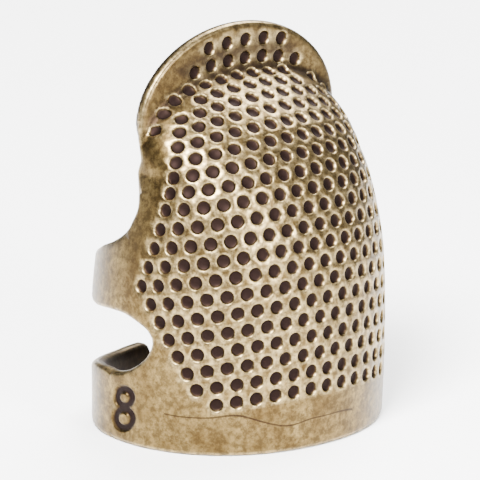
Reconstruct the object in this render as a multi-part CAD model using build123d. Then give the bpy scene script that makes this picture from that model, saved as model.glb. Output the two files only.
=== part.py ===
from build123d import *
import os
from math import sqrt

os.makedirs("parts", exist_ok=True)

# Adjustable open-backed thimble, pressed from one brass sheet. +Z runs up the finger, the dimpled
# pad side faces -Y, the nail side is open towards +Y, and the shape is symmetric about X = 0.
sheet = 0.8  # thickness of the pressed sheet

# Ring: the oval that goes round the finger, leaning inwards from the ring to the tip.
ring_half_width = 9.85
ring_half_depth = 8.2
shoulder_half_width = 7.9
lean_start = 5.0
lean_power = 1.35

# Dome: the closed tip, an elliptic arch seen from the front and a longer one seen from the side.
arch_centre = 18.3
arch_rise = 4.2
pad_centre = 8.0
pad_rise = 14.5
dome_shift = 0.8
tip_cut = 22.3
ring_heights = (0, 3, 6, 9, 12, 15, 17)
dome_steps = (0.0, 0.3, 0.55, 0.75, 0.88, 1.0)

# Tip flange: the lip that stands up round the arch and stops the needle slipping off.
flange_front = 0.6
flange_foot = 16.8
rim_half_width = 8.1
rim_centre = 19.45
rim_rise = 6.15

# Arms: two pairs that wrap round the back of the finger and bend at their roots.
root_seam = 1.0
seam_gap = 0.25
band_gap_half = 1.6
wing_gap_half = 3.2
end_radius = 0.9
reach = 12.0
ceiling = 30.0

# Side outlines, as (Y, Z) points: the notch between the two arms, and the open back's edge.
notch_points = [
    (reach, 3.0),
    (4.7, 3.5),
    (1.6, 3.9),
    (-0.6, 4.6),
    (-2.0, 5.6),
    (-2.4, 6.6),
    (-1.7, 7.8),
    (0.2, 8.4),
    (2.2, 8.35),
    (4.7, 7.7),
    (reach, 8.2),
]
back_points = [
    (flange_front, 15.7),
    (0.72, 14.3),
    (1.3, 13.3),
    (2.0, 12.6),
    (3.0, 11.95),
    (4.7, 11.0),
    (reach, 10.0),
]


def half_width(height, inset):
    """Half-width of the oval at a height, for the outer face or for a face inset from it."""
    if height > arch_centre:
        rise = (height - arch_centre) / (arch_rise - inset)
        return (shoulder_half_width - inset) * sqrt(1 - rise**2)
    lean = max(0.0, (height - lean_start) / (arch_centre - lean_start))
    return ring_half_width - inset - (ring_half_width - shoulder_half_width) * lean**lean_power


def oval(height, inset):
    """The oval section at a height. Its front follows the pad's curve and its middle shifts back."""
    rise = max(0.0, (height - pad_centre) / (pad_rise - inset))
    shift = dome_shift * min(1.0, rise)
    half_depth = (ring_half_depth + dome_shift - inset) * sqrt(1 - rise**2) + shift - dome_shift
    return Plane.XY.offset(height) * Pos(0, shift) * Ellipse(half_width(height, inset), half_depth)


def hood(inset, foot):
    """The closed solid inside one face of the sheet, from below the ring to the tip."""
    top = tip_cut - inset
    heights = [foot, *ring_heights[1:]]
    heights += [arch_centre + step * (top - arch_centre) for step in dome_steps]
    return loft([oval(max(height, 0), inset).moved(Pos(0, 0, min(height, 0))) for height in heights])


def side_prism(edge, corners):
    """A prism across the whole width, whose side outline is a smooth edge closed by corners."""
    start = edge[0]
    finish = edge[-1]
    outline = Spline(edge) + Polyline(finish, *corners, start)
    return extrude(Plane.YZ * make_face(outline), reach, both=True)


def slab(low, high):
    """A box between two (X, Y, Z) corners."""
    size = [far - near for near, far in zip(low, high)]
    middle = [(far + near) / 2 for near, far in zip(low, high)]
    return Pos(*middle) * Box(*size)


# The sheet, hollow and open at the bottom, with the notch and the open back cut away.
shell = hood(0, 0) - hood(sheet, -1.0)
notch = side_prism(notch_points, [])
open_back = side_prism(back_points, [(reach, ceiling), (flange_front, ceiling)])
sheet_metal = shell - notch - open_back

# Finger shield: everything in front of the arms' roots.
shield_end = root_seam - seam_gap / 2
finger_shield = sheet_metal & slab((-reach, -reach, -1), (reach, shield_end, ceiling))
export_step(finger_shield, "parts/finger_shield.step")

# Tip flange: a curved lip, as thick as the sheet, standing on the arch.
flange_plane = Plane.XZ.offset(-flange_front)
rim = Pos(0, rim_centre) * Ellipse(rim_half_width, rim_rise)
rim_leg_height = rim_centre - flange_foot
rim += Pos(0, flange_foot + rim_leg_height / 2) * Rectangle(2 * rim_half_width, rim_leg_height)
opening = Pos(0, arch_centre) * Ellipse(shoulder_half_width - sheet, arch_rise - sheet)
opening += Pos(0, arch_centre / 2) * Rectangle(2 * (shoulder_half_width - sheet), arch_centre)
lip = rim - opening
lip &= Pos(0, flange_foot + reach / 2) * Rectangle(2 * reach, reach)
tip_flange = extrude(flange_plane * lip, -sheet)
export_step(tip_flange, "parts/tip_flange.step")


def arm(outline):
    """The sheet behind the root seam, kept inside an (X, Z) outline for a left-hand arm."""
    keep = extrude(Plane.XZ.offset(-root_seam - seam_gap / 2) * outline, -reach)
    return sheet_metal & keep


def rounded_end(corners, ends):
    """An (X, Z) outline whose two corners at the arm's free end are rounded."""
    outline = make_face(Polyline(*corners, close=True))
    picked = [point for point in outline.vertices() if (point.X, point.Y) in ends]
    return fillet(picked, end_radius)


band_end = [(-band_gap_half, 0.0), (-band_gap_half, 3.1)]
band_outline = rounded_end([*band_end, (-6.0, 3.8), (-reach, 6.0), (-reach, 0.0)], band_end)
wing_end = [(-wing_gap_half, 8.0), (-wing_gap_half, 10.3)]
wing_outline = rounded_end([*wing_end, (-5.5, 11.2), (-reach, 16.0), (-reach, 7.0), (-5.5, 7.6)], wing_end)

for name, outline in (("lower_band", band_outline), ("upper_wing", wing_outline)):
    left_arm = arm(outline)
    export_step(left_arm, f"parts/{name}_left.step")
    export_step(mirror(left_arm, about=Plane.YZ), f"parts/{name}_right.step")
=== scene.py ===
import math
import bmesh
import bpy
import numpy as np
from mathutils import Matrix, Vector
from mathutils.geometry import delaunay_2d_cdt


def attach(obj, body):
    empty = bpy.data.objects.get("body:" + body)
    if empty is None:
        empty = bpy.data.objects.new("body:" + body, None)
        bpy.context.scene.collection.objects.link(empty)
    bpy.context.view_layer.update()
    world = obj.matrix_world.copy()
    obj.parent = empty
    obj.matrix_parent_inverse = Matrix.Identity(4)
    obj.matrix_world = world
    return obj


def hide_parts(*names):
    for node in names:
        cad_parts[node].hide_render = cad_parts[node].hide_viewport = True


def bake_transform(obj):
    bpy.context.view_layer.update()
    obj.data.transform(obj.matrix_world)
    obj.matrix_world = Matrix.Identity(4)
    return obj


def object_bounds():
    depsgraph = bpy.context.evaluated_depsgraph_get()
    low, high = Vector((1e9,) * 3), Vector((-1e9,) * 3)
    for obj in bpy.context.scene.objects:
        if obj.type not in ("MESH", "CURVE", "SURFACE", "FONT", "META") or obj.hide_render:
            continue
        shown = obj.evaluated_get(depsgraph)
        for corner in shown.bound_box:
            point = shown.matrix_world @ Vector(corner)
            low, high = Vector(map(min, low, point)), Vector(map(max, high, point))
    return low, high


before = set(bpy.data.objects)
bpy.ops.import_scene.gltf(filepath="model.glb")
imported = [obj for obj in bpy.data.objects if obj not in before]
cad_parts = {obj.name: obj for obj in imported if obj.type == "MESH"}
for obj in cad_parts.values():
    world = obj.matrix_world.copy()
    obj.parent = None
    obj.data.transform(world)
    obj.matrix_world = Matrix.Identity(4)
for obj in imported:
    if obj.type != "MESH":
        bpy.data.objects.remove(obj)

cad_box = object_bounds()
MM = 0.001

# ---------------------------------------------------------------- the formed shape of the sheet
# The thimble is one brass sheet, cut flat, dimpled, and pressed over a finger-shaped former.
# Its outer face is given by the profiles of that former: pad side, sides, fullness, and the fold at
# the tip. All sizes here are in millimetres, and they become metres when a piece's mesh is made.
SHEET_THICKNESS = 0.8
TIP_HEIGHT = 22.5
SHOULDER_HEIGHT = 17.2
SHOULDER_POWER = 2.3


def fair_curve(stations, height):
    """A smooth curve through (height, value) stations, as a loftsman bends a batten through pegs."""
    pegs = np.array(stations, float)
    slope = np.gradient(pegs[:, 1], pegs[:, 0])
    i = np.clip(np.searchsorted(pegs[:, 0], height) - 1, 0, len(pegs) - 2)
    gap = pegs[i + 1, 0] - pegs[i, 0]
    t = (height - pegs[i, 0]) / gap
    ends = pegs[i, 1] * (2 * t**3 - 3 * t * t + 1) + pegs[i + 1, 1] * (3 * t * t - 2 * t**3)
    return ends + gap * slope[i] * (t**3 - 2 * t * t + t) + gap * slope[i + 1] * (t**3 - t * t)


# The station lists here, and the outline points of the blank further down, are rounded from what scratch
# fitting scripts printed, and some were then adjusted by hand.
PAD_STATIONS = [(-3, -8.1), (0, -8.1), (3, -8.15), (6, -8.15), (8.6, -8.09), (11.5, -7.8), (14.3, -7.05),
                (17.2, -5.9), (18.6, -5.0), (20.0, -3.72), (21.0, -2.3), (21.75, -0.85), (22.2, 0.2),
                (TIP_HEIGHT, 0.9)]
SIDE_STATIONS = [(-3, 9.75), (0, 9.78), (3, 9.83), (6, 9.8), (8.6, 9.58), (11.5, 9.25), (14.3, 8.67),
                 (SHOULDER_HEIGHT, 7.93), (20, 7.1)]
FULLNESS_STATIONS = [(-3, 2.12), (3, 2.12), (6, 2.13), (8.6, 2.19), (11.5, 2.27), (14.3, 2.36), (17.2, 2.3),
                     (18.6, 2.05), (20, 1.75), (21.5, 1.6), (TIP_HEIGHT, 1.5)]
BACK_STATIONS = [(-3, 7.4), (3, 7.4), (6, 7.8), (9, 8.15), (11.5, 8.0), (14, 7.3), (18, 6.7), (23, 6.5)]

FOLD_STATIONS = [(-3, 0.5), (10, 0.5), (12.5, 0.45), (15.5, 0.3), (18, 0.46), (TIP_HEIGHT, 0.9)]


def side_width(height):
    """Half the width of the former at a height."""
    wall = fair_curve(SIDE_STATIONS, np.minimum(height, SHOULDER_HEIGHT))
    rise = np.clip((height - SHOULDER_HEIGHT) / (TIP_HEIGHT - SHOULDER_HEIGHT), 0, 1)
    return wall * (1 - rise**SHOULDER_POWER) ** (1 / SHOULDER_POWER)


def fold_depth(height):
    """How far back the fold between the hood and the tip lip lies."""
    return fair_curve(FOLD_STATIONS, height)


def formed_point(turn, height):
    """A point of the outer face, at an angle round the finger from the pad and at a height."""
    across = np.sin(turn)
    ahead = np.cos(turn)
    power = np.where(ahead > 0, fair_curve(FULLNESS_STATIONS, height), 2.0)
    x = side_width(height) * np.sign(across) * np.abs(across) ** (2 / power)
    front = fold_depth(height) - fair_curve(PAD_STATIONS, height)
    depth = np.where(ahead > 0, front, fair_curve(BACK_STATIONS, height))
    y = fold_depth(height) - depth * np.sign(ahead) * np.abs(ahead) ** (2 / power)
    return np.stack([x, y, height + 0 * x], -1)


# ---------------------------------------------------------------- the flat blank
# The sheet starts as a flat blank: u runs sideways from the middle and v up the middle line, both
# measured along the finished surface. The rows of dimples droop a little towards the sides.
DIMPLE_PITCH = 1.29
ROW_PITCH = 1.165
SECOND_ROW_HEIGHT = 5.13
DROOP = 0.0116
DROOP_REACH = 15.0

middle_heights = np.linspace(-3, TIP_HEIGHT, 3000)
middle_steps = np.hypot(np.diff(middle_heights), np.diff(fair_curve(PAD_STATIONS, middle_heights)))
middle_lengths = np.concatenate([[0], np.cumsum(middle_steps)])
middle_lengths -= np.interp(0, middle_heights, middle_lengths)
BLANK_TOP = middle_lengths[-1]


def droop(u, v):
    """How much lower a row lies at u than on the middle line."""
    height = np.interp(v, middle_lengths, middle_heights)
    rate = DROOP + 0.010 * np.clip((height - 17) / 4, 0, 1) + 0.008 * np.clip((height - 21) / 1.5, 0, 1)
    return rate * u**2 / (1 + (np.abs(u) / DROOP_REACH) ** 6) ** (1 / 3)


TURNS = np.radians(np.arange(0, 173, 0.5))
row_lengths = np.linspace(0, BLANK_TOP - 0.02, 260)
row_heights = np.interp(row_lengths, middle_lengths, middle_heights)
travel = [0 * row_lengths]
row_points = [formed_point(0 * row_lengths, row_heights)]
for turn in TURNS[1:]:
    height = np.maximum(row_heights - droop(travel[-1], row_lengths), -3)
    point = formed_point(turn + 0 * row_lengths, height)
    travel.append(travel[-1] + np.linalg.norm(point - row_points[-1], axis=-1))
    row_points.append(point)
travel = np.array(travel)
row_points = np.array(row_points)

TABLE_STEP = 0.1
table_u = np.arange(0, travel[-1].max(), TABLE_STEP)
table = np.array([[np.interp(table_u, travel[:, r], row_points[:, r, axis]) for axis in range(3)]
                  for r in range(len(row_lengths))])


def wrap(u, v):
    """Where points of the flat blank lie on the formed outer face."""
    row_share = (v - row_lengths[0]) / (row_lengths[1] - row_lengths[0])
    row = np.clip(row_share.astype(int), 0, len(row_lengths) - 2)
    row_share = np.clip(row_share - row, -3, 1)[:, None]
    column_share = np.abs(u) / TABLE_STEP
    column = np.clip(column_share.astype(int), 0, len(table_u) - 2)
    column_share = (column_share - column)[:, None]
    low = table[row, :, column] * (1 - column_share) + table[row, :, column + 1] * column_share
    high = table[row + 1, :, column] * (1 - column_share) + table[row + 1, :, column + 1] * column_share
    result = low * (1 - row_share) + high * row_share
    result[:, 0] *= np.where(u < 0, -1, 1)
    return result


def unwrap(turn, height):
    """Where a point of the formed sheet, at an angle in degrees and a height, lies on the blank."""
    column = np.radians(turn) / (TURNS[1] - TURNS[0])
    left = int(min(column, len(TURNS) - 2))
    across = travel[left] + (travel[left + 1] - travel[left]) * (column - left)
    v = np.interp(height, middle_heights, middle_lengths)
    for _ in range(12):
        u = np.interp(v, row_lengths, across)
        v = np.interp(height + droop(u, v), middle_heights, middle_lengths)
    return u, v


def fair_path(points, spacing):
    """A Catmull-Rom path through points, with its own points at an even spacing."""
    points = np.array(points, float)
    padded = np.concatenate([[2 * points[0] - points[1]], points, [2 * points[-1] - points[-2]]])
    dense = []
    for a, b, c, d in zip(padded, padded[1:], padded[2:], padded[3:]):
        for t in np.linspace(0, 1, 24, endpoint=False):
            bend = (2 * a - 5 * b + 4 * c - d) * t * t + (3 * b - a - 3 * c + d) * t**3
            dense.append(b + ((c - a) * t + bend) / 2)
    dense = np.array(dense + [points[-1]])
    lengths = np.concatenate([[0], np.cumsum(np.linalg.norm(np.diff(dense, axis=0), axis=1))])
    even = np.linspace(0, lengths[-1], max(3, int(round(lengths[-1] / spacing)) + 1))
    return np.stack([np.interp(even, lengths, dense[:, axis]) for axis in range(dense.shape[1])], 1)


# The blank's own edge points lie a quarter of the dimple pitch apart, and closer round the arm ends.
# The free edge of one half of the blank, from the middle of the ring's bottom edge, round the band's
# end, into the notch, round the wing, and up to the foot of the tip lip: (angle, height) points.
EDGE_SPACING = DIMPLE_PITCH / 4
END_SPACING = 0.2
FOOT_HEIGHT = 15.9
bottom_edge = fair_path([unwrap(turn, 0) for turn in np.linspace(0, 166, 18)], EDGE_SPACING)
band_end = fair_path([unwrap(*p) for p in ((166, 0), (169.5, 0.25), (171.3, 1.0), (171.3, 2.0),
                                           (169.3, 2.85), (166, 3.12))], END_SPACING)
band_top = fair_path([unwrap(*p) for p in ((166, 3.12), (158, 3.15), (150, 3.2), (130, 3.6), (112, 4.15),
                                           (97.5, 4.45), (91, 4.45), (86, 4.58), (80.9, 4.92),
                                           (76.8, 5.36), (73, 5.92), (71, 6.5),
                                           (70.4, 7.06), (71.4, 7.38), (73.7, 7.74), (77, 7.97), (81, 8.18),
                                           (86, 8.35), (92, 8.34), (100, 8.2), (112, 7.9), (122, 7.75),
                                           (135, 7.7), (146, 7.85))], EDGE_SPACING)
wing_end = fair_path([unwrap(*p) for p in ((146, 7.85), (150, 8.35), (151.5, 9.15), (150, 9.95),
                                           (146, 10.4))], END_SPACING)
back_edge = fair_path([unwrap(*p) for p in ((146, 10.4), (133, 10.7), (122, 11.1), (113, 11.8), (101, 12.6),
                                            (92.8, 13.45), (90, 14.3), (89.3, 15.1),
                                            (90, FOOT_HEIGHT))], EDGE_SPACING)
half_edge = np.concatenate([bottom_edge, band_end[1:], band_top[1:], wing_end[1:], back_edge[1:]])
flip = np.array([-1, 1])
free_edge = np.concatenate([(half_edge * flip)[::-1], half_edge[1:]])


def inwards(path, distance):
    """A path moved towards its left-hand side, which is the inside of the blank."""
    heading = np.gradient(path, axis=0)
    heading /= np.linalg.norm(heading, axis=1)[:, None]
    return path + distance * np.stack([-heading[:, 1], heading[:, 0]], 1)


# ---------------------------------------------------------------- the tip lip
# The lip is the sheet beyond the fold, turned up to stop the needle sliding off the fingertip.
RIM_HALF_WIDTH = 7.85
RIM_MIDDLE = 19.45
RIM_RISE = 6.08
RIM_SETBACK = 0.76
RIM_LEAN = 0.05
FOLD_REACH = 0.45
FOLD_START_HEIGHT = 12

fold_angles = np.linspace(0, math.pi / 2, 400)
arch_x = side_width(np.array([SHOULDER_HEIGHT]))[0] * np.sin(fold_angles) ** (2 / SHOULDER_POWER)
arch_z = SHOULDER_HEIGHT + (TIP_HEIGHT - SHOULDER_HEIGHT) * np.cos(fold_angles) ** (2 / SHOULDER_POWER)
leg_z = np.linspace(SHOULDER_HEIGHT, FOOT_HEIGHT, 30)[1:]
fold_x = np.concatenate([arch_x, side_width(leg_z)])
fold_z = np.concatenate([arch_z, leg_z])
fold_line = np.stack([fold_x, fold_depth(fold_z), fold_z], 1)
fold_lengths = np.concatenate([[0], np.cumsum(np.linalg.norm(np.diff(fold_line, axis=0), axis=1))])
side_column = len(TURNS[TURNS <= math.pi / 2]) - 1
side_heights = row_points[side_column, :, 2]
fold_v = np.interp(fold_z, side_heights, row_lengths)
fold_u = np.interp(fold_v, row_lengths, travel[side_column])
near_tip = fold_z > side_heights[-1] - 0.02
last = np.argmin(near_tip)
fold_u[near_tip] = fold_u[last] * fold_lengths[near_tip] / fold_lengths[last]
fold_v[near_tip] = BLANK_TOP - (BLANK_TOP - fold_v[last]) * (fold_u[near_tip] / fold_u[last]) ** 2

rim_angles = np.linspace(0, math.pi / 2, 200)
rim_x = np.concatenate([RIM_HALF_WIDTH * np.sin(rim_angles), [8.0, fold_x[-1]]])
rim_z = np.concatenate([RIM_MIDDLE + RIM_RISE * np.cos(rim_angles), [18.0, FOOT_HEIGHT]])
rim_bearing = np.arctan2(rim_x, rim_z - FOOT_HEIGHT)
rim_reach = np.hypot(rim_x, rim_z - FOOT_HEIGHT)

fold_blank = np.stack([fold_u, fold_v], 1)
fold_blank = np.concatenate([(fold_blank * flip)[:0:-1], fold_blank])
fold_line = np.concatenate([(fold_line * (-1, 1, 1))[:0:-1], fold_line])
fold_s = np.concatenate([-fold_lengths[:0:-1], fold_lengths])
even_s = np.linspace(fold_s[0], fold_s[-1], 700)
fold_blank = np.stack([np.interp(even_s, fold_s, fold_blank[:, i]) for i in (0, 1)], 1)
fold_line = np.stack([np.interp(even_s, fold_s, fold_line[:, i]) for i in (0, 1, 2)], 1)
blur = np.hanning(91) / np.hanning(91).sum()
padded_fold = np.concatenate([2 * fold_blank[0] - fold_blank[45:0:-1], fold_blank,
                              2 * fold_blank[-1] - fold_blank[-2:-47:-1]])
fold_blank = np.stack([np.convolve(padded_fold[:, i], blur, "valid") for i in (0, 1)], 1)
fold_heading = np.gradient(fold_blank, axis=0)
fold_heading /= np.linalg.norm(fold_heading, axis=1)[:, None]
fold_outward = np.stack([-fold_heading[:, 1], fold_heading[:, 0]], 1)
bearing = np.arctan2(np.abs(fold_line[:, 0]), fold_line[:, 2] - FOOT_HEIGHT)
reach = np.interp(bearing, rim_bearing, rim_reach)
rim_line = np.stack([np.sign(fold_line[:, 0]) * reach * np.sin(bearing), 0 * reach,
                     FOOT_HEIGHT + reach * np.cos(bearing)], 1)
rim_line[:, 1] = RIM_SETBACK + RIM_LEAN * (rim_line[:, 2] - RIM_MIDDLE)
fold_reach = np.hypot(fold_line[:, 0], fold_line[:, 2] - FOOT_HEIGHT)
foot_fade = np.clip((fold_line[:, 2] - FOOT_HEIGHT) / 0.4, 0, 1)
lip_height = np.maximum(reach - fold_reach, 0.02) * foot_fade
lip_rise = (rim_line - fold_line) / np.linalg.norm(rim_line - fold_line, axis=1)[:, None]
fold_tangent = np.gradient(fold_line, axis=0)
fold_tangent /= np.linalg.norm(fold_tangent, axis=1)[:, None]
hood_arrival = fold_line - wrap(*(fold_blank - FOLD_REACH * fold_outward).T)
hood_arrival /= np.linalg.norm(hood_arrival, axis=1)[:, None]


def place(blank):
    """Where points of the whole blank, hood and lip, lie on the finished outer face."""
    u, v = blank.T
    result = wrap(u, v)
    for k in np.flatnonzero(v > FOLD_START_HEIGHT):
        nearest = np.argmin(((fold_blank - blank[k]) ** 2).sum(1))
        if nearest in (0, len(fold_blank) - 1):
            continue
        out = (blank[k] - fold_blank[nearest]) @ fold_outward[nearest]
        along = (blank[k] - fold_blank[nearest]) @ fold_heading[nearest]
        bend = FOLD_REACH * min(1.0, max(0.05, lip_height[nearest]))
        if out < -bend:
            continue
        point = fold_line[nearest] + along * fold_tangent[nearest]
        if out > bend:
            result[k] = point + out * lip_rise[nearest]
        else:
            t = (out + bend) / (2 * bend)
            leaving = (1 - t) ** 2 * bend * hood_arrival[nearest]
            result[k] = point - leaving + t * t * bend * lip_rise[nearest]
    return result


def outward(blank):
    """The outward direction of the finished outer face at points of the blank."""
    step = np.array([[0.05, 0], [0, 0.05]])
    sideways = place(blank + step[0]) - place(blank - step[0])
    upwards = place(blank + step[1]) - place(blank - step[1])
    normal = np.cross(sideways, upwards)
    return normal / np.maximum(np.linalg.norm(normal, axis=1), 1e-9)[:, None]


# ---------------------------------------------------------------- cutting and dimpling the blank
# The blank is cut to its outline, the dimples are punched in staggered rows, and a size numeral is
# stamped on one side. The flat layout is triangulated once and then laid onto the formed shape.
rim_blank = (fold_blank + fold_outward * lip_height[:, None])[::-1]
rim_blank = rim_blank[(lip_height[::-1] > 0.05)]
steps = np.concatenate([[0], np.cumsum(np.linalg.norm(np.diff(rim_blank, axis=0), axis=1))])
rim_steps = np.arange(0.2, steps[-1] - 0.2, 0.27)
rim_blank = np.stack([np.interp(rim_steps, steps, rim_blank[:, i]) for i in (0, 1)], 1)
outline = np.concatenate([free_edge, rim_blank])


def edge_distance(points):
    """Distance of points from the outline."""
    a = outline
    d = np.roll(outline, -1, axis=0) - a
    rel = points[:, None, :] - a[None]
    t = np.clip((rel * d).sum(2) / ((d * d).sum(1) + 1e-12), 0, 1)
    return np.linalg.norm(rel - t[..., None] * d, axis=2).min(1)


def inside(points):
    """Whether points lie inside the outline."""
    a = outline
    b = np.roll(outline, -1, axis=0)
    x, y = points[:, :1], points[:, 1:]
    spans = (a[:, 1] > y) != (b[:, 1] > y)
    crossing = x < a[:, 0] + (y - a[:, 1]) * (b[:, 0] - a[:, 0]) / (b[:, 1] - a[:, 1] + 1e-12)
    return (spans & crossing).sum(1) % 2 == 1


# Where the dimples go, as (u, v) centres on the blank. The lip has two rows of its own, one row runs
# along the fold, and the hood's rows widen by half a pitch at each side up to the eighth, then narrow.
DIMPLE_RADIUS = 0.5
DIMPLE_SIDES = 16
LEAST_SPACING = 1.0
LEAST_BORDER = 0.75
second_row_v = np.interp(SECOND_ROW_HEIGHT, middle_heights, middle_lengths)
centres = [(n * DIMPLE_PITCH, second_row_v - 1.14) for n in np.arange(-5.5, 6)]
for row in range(2, 20):
    half = 6.5 + (row - 2) / 2 if row <= 8 else 9.5 - (row - 8) / 2
    half = 5 if row == 19 else half
    row_v = second_row_v + (row - 2) * ROW_PITCH
    centres += [(n * DIMPLE_PITCH, row_v) for n in np.arange(-half, half + 0.1)]
centres = [c for c in centres if c[1] < 20 or np.min(np.linalg.norm(fold_blank - c, axis=1)) > 0.95]
fold_row = []
for first, last_one, pitch, above_fold in ((-2.5, 3.6, 1.23, 0.69), (-1.5, 2.6, 1.14, 1.87)):
    for n in np.arange(first, last_one):
        k = np.argmin(np.abs(even_s - n * pitch))
        fold_row.append(fold_blank[k] + above_fold * fold_outward[k])
for n in range(-8, 9):
    s = n * 1.27 - 0.3
    shift = np.interp(abs(s), (2.5, 4.5, 6.0, 8.0), (-0.45, -0.12, -0.2, -0.4))
    k = np.argmin(np.abs(even_s - s))
    fold_row.append(fold_blank[k] + shift * fold_outward[k])
kept = []
for c in fold_row + centres:
    c = np.array(c, float)
    if all(np.linalg.norm(c - other) > LEAST_SPACING for other in kept):
        kept.append(c)
kept = np.array(kept)
kept = kept[(edge_distance(kept) > LEAST_BORDER) & inside(kept)]

# each dimple's outline is a true circle on the formed face, so it is stretched on the blank to suit
angles = np.arange(DIMPLE_SIDES) * math.tau / DIMPLE_SIDES
side_step = (place(kept + (0.1, 0)) - place(kept - (0.1, 0))) / 0.2
up_step = (place(kept + (0, 0.1)) - place(kept - (0, 0.1))) / 0.2
circles = []
for centre, pu, pv in zip(kept, side_step, up_step):
    e1 = pu / np.linalg.norm(pu)
    e2 = pv - (pv @ e1) * e1
    e2 /= np.linalg.norm(e2)
    jacobian = np.array([[pu @ e1, pv @ e1], [pu @ e2, pv @ e2]])
    circle = np.stack([np.cos(angles), np.sin(angles)], 1) * DIMPLE_RADIUS
    circles.append(centre + np.clip(np.linalg.solve(jacobian, circle.T).T, -0.6, 0.6))

# the points of the layout: edge loops, the roots of the arms, a plain field, and a fine field that
# carries the numeral
SPLIT_TURN = 91
EDGE_RADIUS = 0.3
FIELD_SPACING = 0.33
FINE_SPACING = 0.085
FIELD_BORDER = 0.42
split_lines = []
for low, high in ((0, 4.44), (8.35, 14.15)):
    line = np.array([unwrap(SPLIT_TURN, z) for z in np.linspace(low, high, int((high - low) / 0.3) + 2)])
    split_lines += [line, line * flip]
rings = [outline] + [inwards(outline, gap) for gap in (0.05, 0.14, EDGE_RADIUS)]
numeral_u, numeral_v = unwrap(83, 2.3)
numeral_u = -numeral_u
fine_u, fine_v = np.meshgrid(np.arange(-1.45, 1.46, FINE_SPACING), np.arange(-1.85, 1.86, FINE_SPACING))
fine = np.stack([fine_u.ravel() + numeral_u, fine_v.ravel() + numeral_v], 1)
wide_u, wide_v = np.meshgrid(np.arange(-28, 28, FIELD_SPACING), np.arange(-0.3, 31, FIELD_SPACING))
wide_u[::2] += FIELD_SPACING / 2
wide = np.stack([wide_u.ravel(), wide_v.ravel()], 1)
in_box = (np.abs(wide[:, 0] - numeral_u) < 1.55) & (np.abs(wide[:, 1] - numeral_v) < 1.95)
bend_points = [fold_blank[::8] + d * fold_outward[::8] for d in (-0.42, -0.25, -0.1, 0.05, 0.2, 0.35)]
wide = np.concatenate([wide[~in_box]] + bend_points)
wide = wide[inside(wide)]
wide = wide[edge_distance(wide) > FIELD_BORDER]
circle_gap = np.min(np.linalg.norm(wide[:, None] - kept[None], axis=2), axis=1)
wide = wide[circle_gap > DIMPLE_RADIUS + 0.11]
fine = fine[edge_distance(fine) > FIELD_BORDER]
points, edges = [], []
for ring_number, ring in enumerate(rings):
    start = len(points)
    points += [tuple(p) for p in ring]
    if ring_number == 0:
        edges += [(start + i, start + (i + 1) % len(ring)) for i in range(len(ring))]
faces_wanted = []
for circle in circles:
    start = len(points)
    points += [tuple(p) for p in circle]
    faces_wanted.append(list(range(start, start + DIMPLE_SIDES)))
for line in split_lines:
    start = len(points)
    points += [tuple(p) for p in line]
    edges += [(start + i, start + i + 1) for i in range(len(line) - 1)]
points += [tuple(p) for p in wide] + [tuple(p) for p in fine]
layout = delaunay_2d_cdt([Vector(p) for p in points], edges, faces_wanted, 0, 1e-4, True)
flat, _, flat_faces, _, _, face_from = layout
flat = np.array([tuple(p) for p in flat])
flat_faces = [list(f) for f in flat_faces]
middles = np.array([flat[f].mean(0) for f in flat_faces])
keep = inside(middles)
owner = [source[0] if source else -1 for source in face_from]
gap = np.clip(edge_distance(flat), 0, EDGE_RADIUS)
rounding = EDGE_RADIUS - np.sqrt(EDGE_RADIUS**2 - (EDGE_RADIUS - gap) ** 2)
formed = place(flat)
normal = outward(flat)

# the numeral is two rings, one on the other
STROKE_HALF_WIDTH = 0.29
STAMP_DEPTH = 0.14
ring_u = (flat[:, 0] - numeral_u) * 0.84
ring_v = flat[:, 1] - numeral_v
lower_ring = np.abs(np.hypot(ring_u, ring_v + 0.68) - 0.62)
upper_ring = np.abs(np.hypot(ring_u, ring_v - 0.72) - 0.55)
stroke = np.minimum(lower_ring, upper_ring)
stamp = np.clip((STROKE_HALF_WIDTH - stroke) / 0.12, 0, 1)

# painted shade darkens the fold crease; the lip beyond the fold is a little darker all over, and darker
# still in a band between its two rows of dimples
fold_gap = np.linalg.norm(flat[:, None] - fold_blank[None, ::6], axis=2)
nearest_fold = fold_gap.argmin(1)
beyond = ((flat - fold_blank[::6][nearest_fold]) * fold_outward[::6][nearest_fold]).sum(1)
lip_share = np.clip(lip_height[::6][nearest_fold], 0, 1)
# the narrow band hugging the fold is painted shade in the crease
crease_shade_and_lip_darkening = lip_share * np.maximum(0.9 * np.exp(-((fold_gap.min(1) / 0.6) ** 2)), 0.28 * (beyond > 0))
between_rows = np.exp(-(((beyond - 1.15) / 0.75) ** 2)) * (np.abs(even_s[::6][nearest_fold]) < 4.1)
crease_shade_and_lip_darkening = np.maximum(crease_shade_and_lip_darkening, 0.8 * between_rows)

# the outer and inner faces of the sheet
outer = formed - normal * (rounding + STAMP_DEPTH * stamp)[:, None]
inner = formed - normal * (SHEET_THICKNESS - rounding)[:, None]

# which piece each face belongs to: the shield, or one of the four bendable arms
NOTCH_HEIGHT = 6.8
ARM_TOP = 14.3
split_v = np.array([unwrap(SPLIT_TURN, z) for z in np.linspace(0, 14.9, 40)])
limit_u = np.interp(middles[:, 1], split_v[:, 1], split_v[:, 0])
height = place(middles)[:, 2]
is_arm = (np.abs(middles[:, 0]) > limit_u) & (height < ARM_TOP)
piece_of = np.where(~is_arm, 0, np.where(middles[:, 0] < 0, 1, 2) + np.where(height > NOTCH_HEIGHT, 2, 0))


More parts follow.
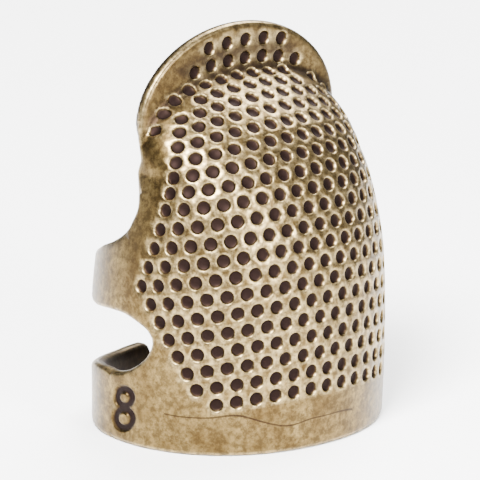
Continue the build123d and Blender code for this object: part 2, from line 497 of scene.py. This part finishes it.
def build_piece(name, number):
    """One piece of the sheet as a closed mesh with its dimples pressed in."""
    mesh = bmesh.new()
    patina_and_crease_shade = mesh.verts.layers.float.new("patina_and_crease_shade")
    worn = mesh.verts.layers.float.new("worn")
    made = {}

    def vert(kind, i):
        if (kind, i) not in made:
            made[kind, i] = mesh.verts.new(Vector((outer if kind else inner)[i]) * MM)
            # outer face: dark patina in the stamped numeral, painted shade in the fold crease, and the
            # darker lip
            made[kind, i][patina_and_crease_shade] = max(stamp[i], crease_shade_and_lip_darkening[i]) if kind else 0.85
            made[kind, i][worn] = 1 - gap[i] / EDGE_RADIUS
        return made[kind, i]

    dimple_loops = {}
    edge_count = {}
    for f, face in enumerate(flat_faces):
        if not keep[f] or piece_of[f] != number:
            continue
        if owner[f] >= 0:
            dimple_loops.setdefault(owner[f], []).append(face)
        else:
            mesh.faces.new([vert(1, i) for i in face])
            mesh.faces.new([vert(0, i) for i in reversed(face)])
        for a, b in zip(face, face[1:] + face[:1]):
            edge_count[a, b] = 1
    for a, b in edge_count:
        if (b, a) not in edge_count:
            mesh.faces.new([vert(1, b), vert(1, a), vert(0, a), vert(0, b)])
    dimples = []
    for group in dimple_loops.values():
        ring = {}
        for face in group:
            for a, b in zip(face, face[1:] + face[:1]):
                ring[a] = ring.get(a, []) + [b]
        sides = {(a, b) for a in ring for b in ring[a]}
        chain = {a: b for a, b in sides if (b, a) not in sides}
        loop = [next(iter(chain))]
        while chain[loop[-1]] != loop[0]:
            loop.append(chain[loop[-1]])
        dimples.append(mesh.faces.new([vert(1, i) for i in loop]))
        mesh.faces.new([vert(0, i) for i in reversed(loop)])
    mesh.normal_update()
    for face in dimples:
        for v in face.verts:
            v[worn] = 0.6
    # worn lip, steep wall, then a shallow floor: inset, depth, dirt and wear of each
    for inset, depth, dark, wear in ((0.045, -0.025, 0.0, 0.9), (0.045, -0.12, 0.8, 0.0),
                                     (0.09, -0.06, 1.0, 0.0)):
        bmesh.ops.inset_individual(mesh, faces=dimples, thickness=inset * MM, depth=depth * MM)
        for face in dimples:
            for v in face.verts:
                v[patina_and_crease_shade] = dark
                v[worn] = wear
    data = bpy.data.meshes.new(name)
    mesh.to_mesh(data)
    mesh.free()
    data.polygons.foreach_set("use_smooth", [True] * len(data.polygons))
    data.set_sharp_from_angle(angle=math.radians(62))
    thing = bpy.data.objects.new(name, data)
    bpy.context.scene.collection.objects.link(thing)
    return thing


# ---------------------------------------------------------------- material
# Brass that has browned with age: worn bright on the high spots, with dark patina in the dimples and
# painted shade in the fold crease.
brass = bpy.data.materials.new("antique_brass")
brass.use_nodes = True
tree = brass.node_tree
shader = tree.nodes["Principled BSDF"]
shader.inputs["Metallic"].default_value = 1.0
space = tree.nodes.new("ShaderNodeTexCoord")
dark = tree.nodes.new("ShaderNodeAttribute")
dark.attribute_name = "patina_and_crease_shade"
rubbed = tree.nodes.new("ShaderNodeAttribute")
rubbed.attribute_name = "worn"
cloud = tree.nodes.new("ShaderNodeTexNoise")
cloud.inputs["Scale"].default_value = 520
cloud.inputs["Detail"].default_value = 8
cloud.inputs["Roughness"].default_value = 0.68
speck = tree.nodes.new("ShaderNodeTexNoise")
speck.inputs["Scale"].default_value = 3200
speck.inputs["Detail"].default_value = 4
tree.links.new(space.outputs["Object"], cloud.inputs["Vector"])
tree.links.new(space.outputs["Object"], speck.inputs["Vector"])
tone = tree.nodes.new("ShaderNodeValToRGB")
tone.color_ramp.elements[0].position = 0.36
tone.color_ramp.elements[0].color = (0.085, 0.053, 0.018, 1)
tone.color_ramp.elements[1].position = 0.66
tone.color_ramp.elements[1].color = (0.205, 0.142, 0.054, 1)
tree.links.new(cloud.outputs["Fac"], tone.inputs["Fac"])
bright = tree.nodes.new("ShaderNodeMix")
bright.data_type = "RGBA"
tree.links.new(tone.outputs["Color"], bright.inputs[6])
bright.inputs[7].default_value = (0.46, 0.345, 0.165, 1)
tree.links.new(rubbed.outputs["Fac"], bright.inputs[0])
# mixes towards near-black: dark patina in the dimples and numeral, painted shade in the fold crease, and
# the scratch
darkening_mix = tree.nodes.new("ShaderNodeMix")
darkening_mix.data_type = "RGBA"
tree.links.new(bright.outputs[2], darkening_mix.inputs[6])
darkening_mix.inputs[7].default_value = (0.012, 0.007, 0.006, 1)
tree.links.new(dark.outputs["Fac"], darkening_mix.inputs[0])
tree.links.new(darkening_mix.outputs[2], shader.inputs["Base Color"])
rough = tree.nodes.new("ShaderNodeMapRange")
rough.inputs["To Min"].default_value = 0.26
rough.inputs["To Max"].default_value = 0.46
tree.links.new(speck.outputs["Fac"], rough.inputs["Value"])
# fine dark specks in the pores of the metal
pores = tree.nodes.new("ShaderNodeTexNoise")
pores.inputs["Scale"].default_value = 2300
pores.inputs["Detail"].default_value = 6
pores.inputs["Roughness"].default_value = 0.75
tree.links.new(space.outputs["Object"], pores.inputs["Vector"])
pore_mask = tree.nodes.new("ShaderNodeMapRange")
pore_mask.inputs["From Min"].default_value = 0.42
pore_mask.inputs["From Max"].default_value = 0.6
pore_mask.inputs["To Min"].default_value = 0.75
pore_mask.inputs["To Max"].default_value = 0.0
tree.links.new(pores.outputs["Fac"], pore_mask.inputs["Value"])
speckled = tree.nodes.new("ShaderNodeMix")
speckled.data_type = "RGBA"
tree.links.new(pore_mask.outputs["Result"], speckled.inputs[0])
tree.links.new(bright.outputs[2], speckled.inputs[6])
speckled.inputs[7].default_value = (0.035, 0.021, 0.008, 1)
tree.links.new(speckled.outputs[2], darkening_mix.inputs[6])

# one long hairline scratch, wandering across the plain border below the dimples
axes = tree.nodes.new("ShaderNodeSeparateXYZ")
tree.links.new(space.outputs["Object"], axes.inputs["Vector"])


def compute(operation, first, second):
    """A maths node on two sockets or numbers."""
    node = tree.nodes.new("ShaderNodeMath")
    node.operation = operation
    for socket, value in zip(node.inputs, (first, second)):
        if isinstance(value, (int, float)):
            socket.default_value = value
        else:
            tree.links.new(value, socket)
    return node.outputs[0]


drift = tree.nodes.new("ShaderNodeTexNoise")
drift.inputs["Scale"].default_value = 260
drift.inputs["Detail"].default_value = 0
tree.links.new(space.outputs["Object"], drift.inputs["Vector"])
wander = compute("MULTIPLY", compute("SUBTRACT", drift.outputs["Fac"], 0.5), 0.0014)
line_height = compute("ADD", compute("MULTIPLY", axes.outputs["X"], -0.093), 0.00195)
wandering_line = compute("ADD", line_height, wander)
off_line = compute("ABSOLUTE", compute("SUBTRACT", axes.outputs["Z"], wandering_line), 0)
on_line = compute("LESS_THAN", off_line, 0.00005)
in_reach = compute("LESS_THAN", compute("ABSOLUTE", compute("ADD", axes.outputs["X"], 0.0029), 0), 0.0059)
in_front = compute("LESS_THAN", axes.outputs["Y"], -0.002)
scratch = compute("MULTIPLY", compute("MULTIPLY", on_line, in_reach), in_front)
dull = compute("MAXIMUM", compute("MULTIPLY", dark.outputs["Fac"], 0.6), rough.outputs["Result"])
tree.links.new(dull, shader.inputs["Roughness"])
darkened = compute("MAXIMUM", compute("MULTIPLY", scratch, 0.75), dark.outputs["Fac"])
tree.links.new(darkened, darkening_mix.inputs[0])

relief = tree.nodes.new("ShaderNodeBump")
relief.inputs["Strength"].default_value = 0.25
relief.inputs["Distance"].default_value = 0.00004
tree.links.new(speck.outputs["Fac"], relief.inputs["Height"])
tree.links.new(relief.outputs["Normal"], shader.inputs["Normal"])

# ---------------------------------------------------------------- the shield and its four arms
# The shield is the dimpled hood and lip; two lower bands and two upper wings reach round the finger
# and are bent in or out by hand to fit it.
shield = build_piece("shield_skin", 0)
shield.data.materials.append(brass)
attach(shield, "shield")
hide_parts("finger_shield", "tip_flange")
for number, name in ((1, "left_band"), (2, "right_band"), (3, "left_wing"), (4, "right_wing")):
    arm = build_piece(name + "_skin", number)
    arm.data.materials.append(brass)
    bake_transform(arm)
    side, kind = name.split("_")
    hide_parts(("lower_band_" if kind == "band" else "upper_wing_") + side)

# ---------------------------------------------------------------- stage, lights and camera
# A white paper floor and a soft white studio. A dark card off to the right shades that side.
floor_mesh = bmesh.new()
bmesh.ops.create_grid(floor_mesh, x_segments=1, y_segments=1, size=1.5)
floor_data = bpy.data.meshes.new("floor")
floor_mesh.to_mesh(floor_data)
floor = bpy.data.objects.new("floor", floor_data)
bpy.context.scene.collection.objects.link(floor)
floor.location.z = cad_box[0][2]
paper = bpy.data.materials.new("white_paper")
paper.use_nodes = True
paper.node_tree.nodes["Principled BSDF"].inputs["Base Color"].default_value = (0.9, 0.9, 0.9, 1)
paper.node_tree.nodes["Principled BSDF"].inputs["Roughness"].default_value = 0.9
floor_data.materials.append(paper)
world = bpy.data.worlds.new("studio")
world.use_nodes = True
world.node_tree.nodes["Background"].inputs["Color"].default_value = (1, 1, 1, 1)
path = world.node_tree.nodes.new("ShaderNodeLightPath")
strength = world.node_tree.nodes.new("ShaderNodeMapRange")
strength.inputs["To Min"].default_value = 0.16
strength.inputs["To Max"].default_value = 3.0
world.node_tree.links.new(path.outputs["Is Camera Ray"], strength.inputs["Value"])
background = world.node_tree.nodes["Background"]
world.node_tree.links.new(strength.outputs["Result"], background.inputs["Strength"])
bpy.context.scene.world = world
for name, place_at, size, power in (("key", (-0.17, -0.10, 0.24), 0.11, 6.8),
                                    ("fill", (0.02, -0.3, 0.12), 0.1, 2.2),
                                    ("top", (0.17, 0.08, 0.27), 0.2, 3.6)):
    lamp = bpy.data.lights.new(name, "AREA")
    lamp.size = size
    lamp.energy = power
    holder = bpy.data.objects.new(name, lamp)
    bpy.context.scene.collection.objects.link(holder)
    holder.location = place_at
    holder.rotation_euler = (Vector((0, 0, 0.012)) - Vector(place_at)).to_track_quat("-Z", "Y").to_euler()

card_mesh = bmesh.new()
bmesh.ops.create_grid(card_mesh, x_segments=1, y_segments=1, size=0.07)
card_data = bpy.data.meshes.new("dark_card")
card_mesh.to_mesh(card_data)
card = bpy.data.objects.new("dark_card", card_data)
bpy.context.scene.collection.objects.link(card)
card.location = (0.16, -0.05, 0.035)
card.rotation_euler = (0, math.radians(90), math.radians(-15))
felt = bpy.data.materials.new("dark_felt")
felt.use_nodes = True
felt.node_tree.nodes["Principled BSDF"].inputs["Base Color"].default_value = (0.02, 0.02, 0.02, 1)
card_data.materials.append(felt)
card.visible_camera = False

# a long lens, from the left of the pad side and a little above
swing = math.radians(38.82)
tilt = math.radians(17.51)
roll = math.radians(1.44)
right = Vector((math.cos(swing), -math.sin(swing), 0))
up = Vector((math.sin(tilt) * math.sin(swing), math.sin(tilt) * math.cos(swing), math.cos(tilt)))
ahead = right.cross(up) * -1
target = (Vector((0, -0.35, 5.32)) - 0.332 * right + 5.99 * up) * MM
camera_data = bpy.data.cameras.new("camera")
camera_data.lens = 798
camera_data.clip_start = 0.05
camera = bpy.data.objects.new("camera", camera_data)
bpy.context.scene.collection.objects.link(camera)
image_right = math.cos(roll) * right + math.sin(roll) * up
image_up = -math.sin(roll) * right + math.cos(roll) * up
camera.matrix_world = Matrix((image_right, image_up, -ahead)).transposed().to_4x4()
camera.location = target - ahead * 0.674
bpy.context.scene.camera = camera
